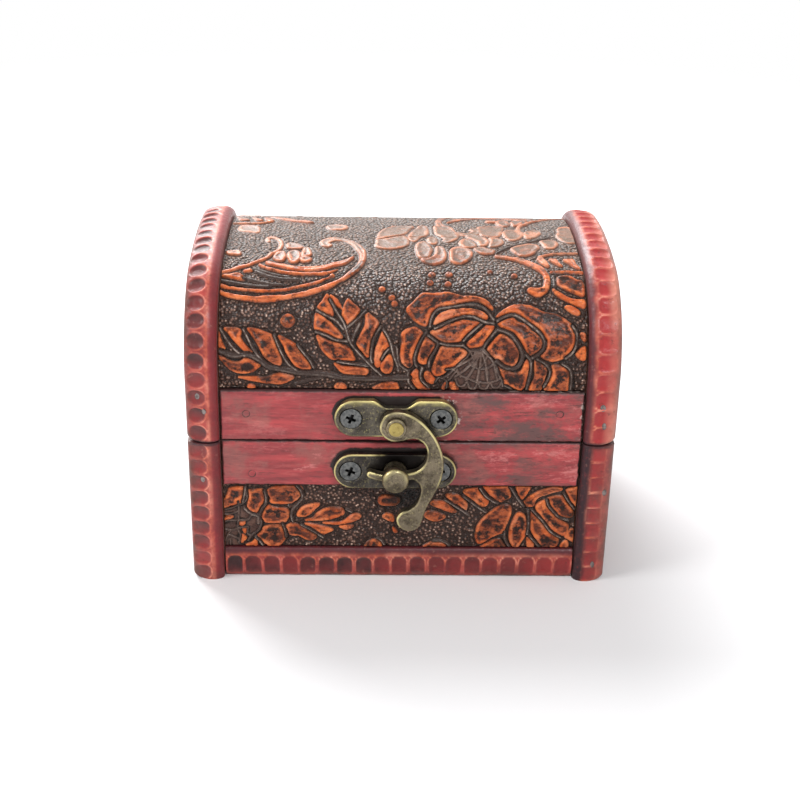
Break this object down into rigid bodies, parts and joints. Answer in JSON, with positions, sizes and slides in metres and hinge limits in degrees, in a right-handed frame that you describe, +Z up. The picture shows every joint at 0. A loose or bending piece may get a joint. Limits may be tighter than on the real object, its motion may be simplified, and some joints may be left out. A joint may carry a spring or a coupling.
{
  "type": "storage chest",
  "caption": "Small wooden storage chest with vaulted hinged lid, embossed leather panels, gouged edge mouldings and a swing-hook latch.",
  "frame": {"origin": "centre of the footprint, on the chest's underside", "axes": "+Z up; the front with the latch faces -Y; +X to the right as seen from the front, along the chest's longest side"},
  "size_m": [0.08, 0.0667, 0.062],
  "materials": {
    "embossed_leather": "embossed, dark brown pebbled ground with burnished orange florals, semi-gloss",
    "moulding_wood": "red stain and varnish, dark in the gouges, orange-red on the crown",
    "strip_wood": "red stain, worn and dirty at the edges, satin",
    "carcass_wood": "plain stained wood, matt",
    "antique_brass": "antiqued, dark in the recesses and bright on worn edges",
    "hinge_brass": "antiqued, satin",
    "dark_steel": "dark grey, satin"
  },
  "bodies": {
    "base": {"bottom_panel": "carcass_wood", "base_front_wall": "carcass_wood", "base_front_leather": "embossed_leather", "base_front_rim_strip": "strip_wood", "base_front_foot_strip": "moulding_wood", "base_back_wall": "carcass_wood", "base_back_leather": "embossed_leather", "base_back_rim_strip": "strip_wood", "base_back_foot_strip": "moulding_wood", "base_left_wall": "carcass_wood", "base_left_leather": "embossed_leather", "base_left_rim_strip": "strip_wood", "base_left_foot_strip": "moulding_wood", "base_right_wall": "carcass_wood", "base_right_leather": "embossed_leather", "base_right_rim_strip": "strip_wood", "base_right_foot_strip": "moulding_wood", "base_front_left_corner_strip": "moulding_wood", "base_front_right_corner_strip": "moulding_wood", "base_back_left_corner_strip": "moulding_wood", "base_back_right_corner_strip": "moulding_wood", "keeper_plate": "antique_brass", "keeper_plate_left_screw": "dark_steel", "keeper_plate_right_screw": "dark_steel", "latch_knob": "antique_brass", "left_hinge_base_leaf": "hinge_brass", "left_hinge_pin": "hinge_brass", "left_hinge_base_left_nail": "hinge_brass", "left_hinge_base_right_nail": "hinge_brass", "right_hinge_base_leaf": "hinge_brass", "right_hinge_pin": "hinge_brass", "right_hinge_base_left_nail": "hinge_brass", "right_hinge_base_right_nail": "hinge_brass"},
    "lid": {"lid_vault": "carcass_wood", "lid_vault_leather": "embossed_leather", "lid_left_end": "carcass_wood", "lid_right_end": "carcass_wood", "lid_left_end_leather": "embossed_leather", "lid_right_end_leather": "embossed_leather", "lid_front_rim_strip": "strip_wood", "lid_back_rim_strip": "strip_wood", "lid_left_rim_strip": "strip_wood", "lid_right_rim_strip": "strip_wood", "lid_left_rib": "moulding_wood", "lid_right_rib": "moulding_wood", "latch_plate": "antique_brass", "latch_plate_left_screw": "dark_steel", "latch_plate_right_screw": "dark_steel", "latch_pivot_rivet": "antique_brass", "left_hinge_lid_leaf": "hinge_brass", "left_hinge_lid_left_nail": "hinge_brass", "left_hinge_lid_right_nail": "hinge_brass", "right_hinge_lid_leaf": "hinge_brass", "right_hinge_lid_left_nail": "hinge_brass", "right_hinge_lid_right_nail": "hinge_brass"},
    "hook": {"latch_hook": "antique_brass"}
  },
  "joints": [
    {"name": "lid_hinge", "type": "hinge", "parent": "base", "child": "lid", "pos_m": [0, 0.0306, 0.03], "axis": [-1, 0, 0], "range_deg": [0, 110]},
    {"name": "hook_pivot", "type": "hinge", "parent": "lid", "child": "hook", "pos_m": [-0.0012, -0.0317, 0.03485], "axis": [0, -1, 0], "range_deg": [0, 180]}
  ]
}
